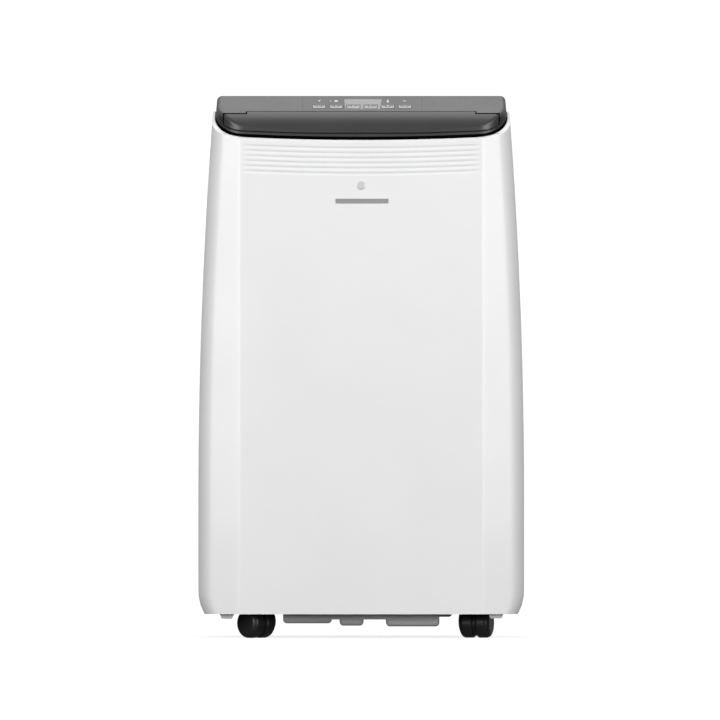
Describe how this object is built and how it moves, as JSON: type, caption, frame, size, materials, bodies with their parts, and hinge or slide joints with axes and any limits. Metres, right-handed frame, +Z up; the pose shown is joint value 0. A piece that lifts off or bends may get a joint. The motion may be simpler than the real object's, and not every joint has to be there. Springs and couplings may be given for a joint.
{
  "type": "portable air conditioner",
  "caption": "Upright white portable air conditioner on twin-wheel casters, with a dark sloping top, hinged outlet flap, control keys and rear hose collar.",
  "frame": {"origin": "on the floor under the middle of the cabinet", "axes": "+Z up, +Y towards the back, +X to the right as seen from the front"},
  "size_m": [0.421, 0.3399, 0.701],
  "materials": {
    "white_shell": "satin white moulded shell",
    "white_grille": "white moulded grille",
    "deck_grey": "fine-textured mid grey",
    "gloss_dark": "gloss charcoal",
    "smoked_lens": "smoked acrylic",
    "key_grey": "fine-textured mid grey with printed mark",
    "badge_grey": "blank grey bar",
    "grey_plastic": "moulded grey",
    "black_plastic": "moulded black",
    "caster_black": "moulded black nylon",
    "wheel_black": "moulded black nylon",
    "filter_plastic": "grey filter frame with fine net",
    "foam_white": "white inner moulding",
    "coil_fins": "fin stock",
    "zinc_steel": "zinc plated",
    "screw_steel": "zinc plated",
    "black_paint": "black enamel",
    "copper": "bare copper",
    "black_rubber": "moulded rubber",
    "circuit_board": "green board"
  },
  "bodies": {
    "cabinet": {"base_pan": "grey_plastic", "front_cover": "white_shell", "rear_cover": "white_shell", "top_deck": "deck_grey", "control_fascia": "deck_grey", "display_lens": "smoked_lens", "control_board": "circuit_board", "outlet_duct": "black_plastic", "flap_motor": "zinc_steel", "upper_fan_motor": "zinc_steel", "lower_fan_motor": "zinc_steel", "upper_scroll": "foam_white", "lower_scroll": "foam_white", "evaporator_coil": "coil_fins", "condenser_coil": "coil_fins", "drip_tray": "foam_white", "compressor": "black_paint", "compressor_grommets": "black_rubber", "discharge_pipe": "copper", "suction_pipe": "copper", "electrical_box": "grey_plastic", "upper_intake_grille": "white_grille", "lower_intake_grille": "white_grille", "exhaust_collar": "grey_plastic", "side_grips": "grey_plastic", "cord_gland": "black_rubber", "cord_hooks": "white_shell", "cover_screws": "screw_steel", "sensor_window": "smoked_lens", "badge_bar": "badge_grey"},
    "outlet_flap": {"outlet_flap": "gloss_dark"},
    "vane_link": {"vane_link": "black_plastic"},
    "air_vane_1": {"air_vane_1": "black_plastic"},
    "air_vane_2": {"air_vane_2": "black_plastic"},
    "air_vane_3": {"air_vane_3": "black_plastic"},
    "air_vane_4": {"air_vane_4": "black_plastic"},
    "air_vane_5": {"air_vane_5": "black_plastic"},
    "key_1": {"key_1": "key_grey"},
    "key_2": {"key_2": "key_grey"},
    "key_3": {"key_3": "key_grey"},
    "key_4": {"key_4": "key_grey"},
    "key_5": {"key_5": "key_grey"},
    "key_6": {"key_6": "key_grey"},
    "upper_filter": {"upper_filter": "filter_plastic"},
    "lower_filter": {"lower_filter": "filter_plastic"},
    "upper_fan_wheel": {"upper_fan_wheel": "black_plastic"},
    "lower_fan_wheel": {"lower_fan_wheel": "black_plastic"},
    "drain_plug": {"drain_plug": "black_rubber"},
    "caster_front_left": {"caster_front_left": "caster_black"},
    "caster_front_left_wheel_a": {"caster_front_left_wheel_a": "wheel_black"},
    "caster_front_left_wheel_b": {"caster_front_left_wheel_b": "wheel_black"},
    "caster_front_right": {"caster_front_right": "caster_black"},
    "caster_front_right_wheel_a": {"caster_front_right_wheel_a": "wheel_black"},
    "caster_front_right_wheel_b": {"caster_front_right_wheel_b": "wheel_black"},
    "caster_rear_left": {"caster_rear_left": "caster_black"},
    "caster_rear_left_wheel_a": {"caster_rear_left_wheel_a": "wheel_black"},
    "caster_rear_left_wheel_b": {"caster_rear_left_wheel_b": "wheel_black"},
    "caster_rear_right": {"caster_rear_right": "caster_black"},
    "caster_rear_right_wheel_a": {"caster_rear_right_wheel_a": "wheel_black"},
    "caster_rear_right_wheel_b": {"caster_rear_right_wheel_b": "wheel_black"}
  },
  "joints": [
    {"name": "flap_open", "type": "hinge", "parent": "cabinet", "child": "outlet_flap", "pos_m": [0, -0.12772, 0.67151], "axis": [-1, 0, 0], "range_deg": [0, 45]},
    {"name": "vane_link_slide", "type": "slide", "parent": "cabinet", "child": "vane_link", "axis": [-1, 0, 0], "range_m": [-0.00418, 0.00418]},
    {"name": "air_vane_1_turn", "type": "hinge", "parent": "cabinet", "child": "air_vane_1", "pos_m": [-0.112, -0.11, 0.64], "axis": [0, 0.848, 0.5299], "range_deg": [-30, 30]},
    {"name": "air_vane_2_turn", "type": "hinge", "parent": "cabinet", "child": "air_vane_2", "pos_m": [-0.056, -0.11, 0.64], "axis": [0, 0.848, 0.5299], "range_deg": [-30, 30]},
    {"name": "air_vane_3_turn", "type": "hinge", "parent": "cabinet", "child": "air_vane_3", "pos_m": [0, -0.11, 0.64], "axis": [0, 0.848, 0.5299], "range_deg": [-30, 30]},
    {"name": "air_vane_4_turn", "type": "hinge", "parent": "cabinet", "child": "air_vane_4", "pos_m": [0.056, -0.11, 0.64], "axis": [0, 0.848, 0.5299], "range_deg": [-30, 30]},
    {"name": "air_vane_5_turn", "type": "hinge", "parent": "cabinet", "child": "air_vane_5", "pos_m": [0.112, -0.11, 0.64], "axis": [0, 0.848, 0.5299], "range_deg": [-30, 30]},
    {"name": "key_1_press", "type": "slide", "parent": "cabinet", "child": "key_1", "axis": [0, 0.4695, -0.8829], "range_m": [0, 0.0008], "stiffness_N_per_m": 1500, "springref_m": -0.0002},
    {"name": "key_2_press", "type": "slide", "parent": "cabinet", "child": "key_2", "axis": [0, 0.4695, -0.8829], "range_m": [0, 0.0008], "stiffness_N_per_m": 1500, "springref_m": -0.0002},
    {"name": "key_3_press", "type": "slide", "parent": "cabinet", "child": "key_3", "axis": [0, 0.4695, -0.8829], "range_m": [0, 0.0008], "stiffness_N_per_m": 1500, "springref_m": -0.0002},
    {"name": "key_4_press", "type": "slide", "parent": "cabinet", "child": "key_4", "axis": [0, 0.4695, -0.8829], "range_m": [0, 0.0008], "stiffness_N_per_m": 1500, "springref_m": -0.0002},
    {"name": "key_5_press", "type": "slide", "parent": "cabinet", "child": "key_5", "axis": [0, 0.4695, -0.8829], "range_m": [0, 0.0008], "stiffness_N_per_m": 1500, "springref_m": -0.0002},
    {"name": "key_6_press", "type": "slide", "parent": "cabinet", "child": "key_6", "axis": [0, 0.4695, -0.8829], "range_m": [0, 0.0008], "stiffness_N_per_m": 1500, "springref_m": -0.0002},
    {"name": "upper_filter_slide", "type": "slide", "parent": "cabinet", "child": "upper_filter", "axis": [1, 0, 0], "range_m": [0, 0.2]},
    {"name": "lower_filter_slide", "type": "slide", "parent": "cabinet", "child": "lower_filter", "axis": [-1, 0, 0], "range_m": [0, 0.2]},
    {"name": "upper_fan_wheel_spin", "type": "hinge", "parent": "cabinet", "child": "upper_fan_wheel", "pos_m": [0, 0.045, 0.49], "axis": [0, 1, 0], "continuous": true},
    {"name": "lower_fan_wheel_spin", "type": "hinge", "parent": "cabinet", "child": "lower_fan_wheel", "pos_m": [-0.072, 0.045, 0.2], "axis": [0, 1, 0], "continuous": true},
    {"name": "drain_plug_pull", "type": "slide", "parent": "cabinet", "child": "drain_plug", "axis": [0, 1, 0], "range_m": [0, 0.014]},
    {"name": "caster_front_left_swivel", "type": "hinge", "parent": "cabinet", "child": "caster_front_left", "pos_m": [-0.1457, -0.115, 0.05], "axis": [0, 0, 1], "continuous": true},
    {"name": "caster_front_left_wheel_a_roll", "type": "hinge", "parent": "caster_front_left", "child": "caster_front_left_wheel_a", "pos_m": [-0.1358, -0.1249, 0.019], "axis": [0.7071, 0.7071, 0], "continuous": true},
    {"name": "caster_front_left_wheel_b_roll", "type": "hinge", "parent": "caster_front_left", "child": "caster_front_left_wheel_b", "pos_m": [-0.1358, -0.1249, 0.019], "axis": [0.7071, 0.7071, 0], "continuous": true},
    {"name": "caster_front_right_swivel", "type": "hinge", "parent": "cabinet", "child": "caster_front_right", "pos_m": [0.1457, -0.115, 0.05], "axis": [0, 0, 1], "continuous": true},
    {"name": "caster_front_right_wheel_a_roll", "type": "hinge", "parent": "caster_front_right", "child": "caster_front_right_wheel_a", "pos_m": [0.14932, -0.10148, 0.019], "axis": [-0.9659, 0.2588, 0], "continuous": true},
    {"name": "caster_front_right_wheel_b_roll", "type": "hinge", "parent": "caster_front_right", "child": "caster_front_right_wheel_b", "pos_m": [0.14932, -0.10148, 0.019], "axis": [-0.9659, 0.2588, 0], "continuous": true},
    {"name": "caster_rear_left_swivel", "type": "hinge", "parent": "cabinet", "child": "caster_rear_left", "pos_m": [-0.1457, 0.115, 0.05], "axis": [0, 0, 1], "continuous": true},
    {"name": "caster_rear_left_wheel_a_roll", "type": "hinge", "parent": "caster_rear_left", "child": "caster_rear_left_wheel_a", "pos_m": [-0.1358, 0.1051, 0.019], "axis": [0.7071, 0.7071, 0], "continuous": true},
    {"name": "caster_rear_left_wheel_b_roll", "type": "hinge", "parent": "caster_rear_left", "child": "caster_rear_left_wheel_b", "pos_m": [-0.1358, 0.1051, 0.019], "axis": [0.7071, 0.7071, 0], "continuous": true},
    {"name": "caster_rear_right_swivel", "type": "hinge", "parent": "cabinet", "child": "caster_rear_right", "pos_m": [0.1457, 0.115, 0.05], "axis": [0, 0, 1], "continuous": true},
    {"name": "caster_rear_right_wheel_a_roll", "type": "hinge", "parent": "caster_rear_right", "child": "caster_rear_right_wheel_a", "pos_m": [0.14932, 0.12852, 0.019], "axis": [-0.9659, 0.2588, 0], "continuous": true},
    {"name": "caster_rear_right_wheel_b_roll", "type": "hinge", "parent": "caster_rear_right", "child": "caster_rear_right_wheel_b", "pos_m": [0.14932, 0.12852, 0.019], "axis": [-0.9659, 0.2588, 0], "continuous": true}
  ],
  "couplings": [
    {"joint": "air_vane_1_turn", "follows": "vane_link_slide", "rad_per_m": 125},
    {"joint": "air_vane_2_turn", "follows": "vane_link_slide", "rad_per_m": 125},
    {"joint": "air_vane_3_turn", "follows": "vane_link_slide", "rad_per_m": 125},
    {"joint": "air_vane_4_turn", "follows": "vane_link_slide", "rad_per_m": 125},
    {"joint": "air_vane_5_turn", "follows": "vane_link_slide", "rad_per_m": 125}
  ]
}
